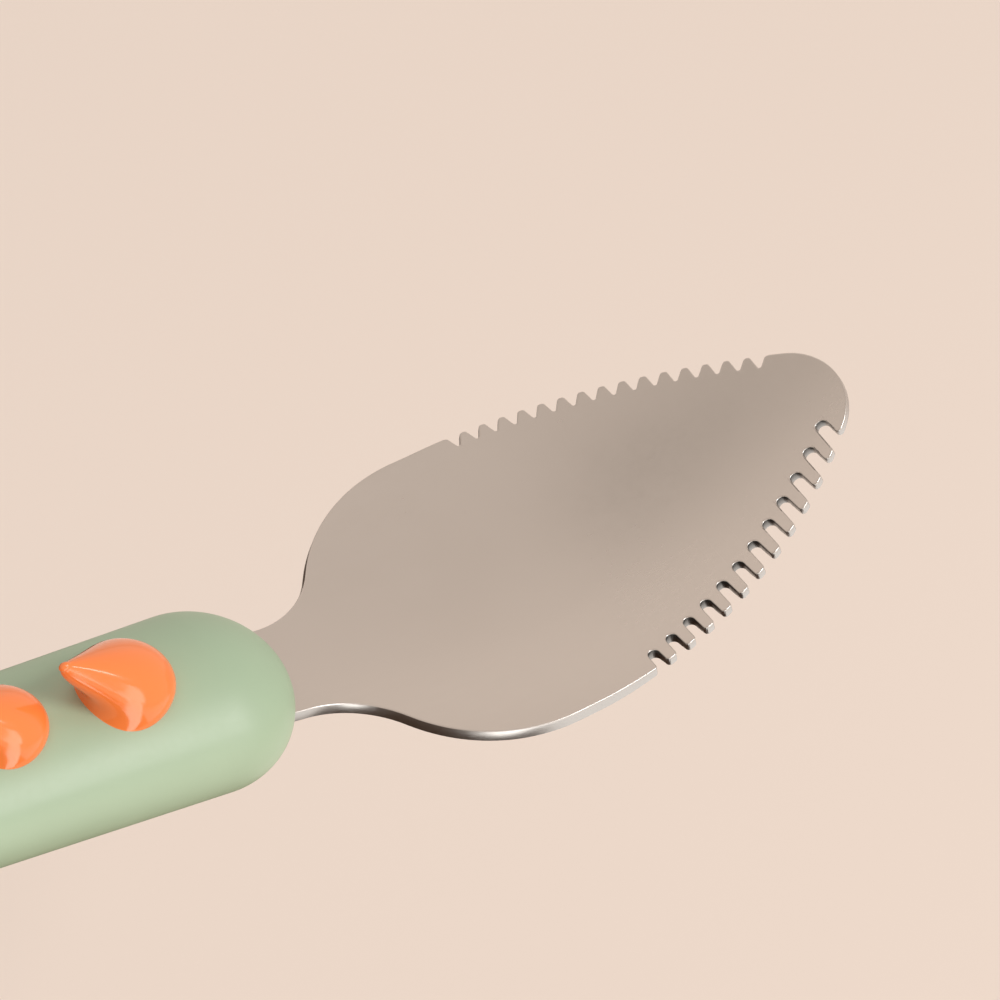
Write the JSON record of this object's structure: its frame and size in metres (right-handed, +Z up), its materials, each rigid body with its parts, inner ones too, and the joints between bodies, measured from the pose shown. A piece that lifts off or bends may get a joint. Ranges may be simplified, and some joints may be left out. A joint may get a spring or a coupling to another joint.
{
  "type": "baby spoon",
  "caption": "Baby feeding spoon with a dished steel head, toothed along both edges for scraping soft fruit, in a tapered moulded handle with raised grip nubs.",
  "frame": {"origin": "on the plane of the flat under the handle, under the middle of the part's length and width", "axes": "+X along the handle towards the tip of the head, +Z up out of the dish, +Y to the side with the fine teeth"},
  "size_m": [0.15, 0.0308, 0.0243],
  "materials": {
    "handle": "satin moulded, sage green",
    "nubs": "smooth soft gloss, orange",
    "blade": "satin stainless steel, lightly scratched"
  },
  "bodies": {
    "root": {"handle": "handle", "blade": "blade", "nub_1": "nubs", "nub_2": "nubs", "nub_3": "nubs", "nub_4": "nubs", "nub_5": "nubs", "nub_6": "nubs"}
  },
  "joints": []
}
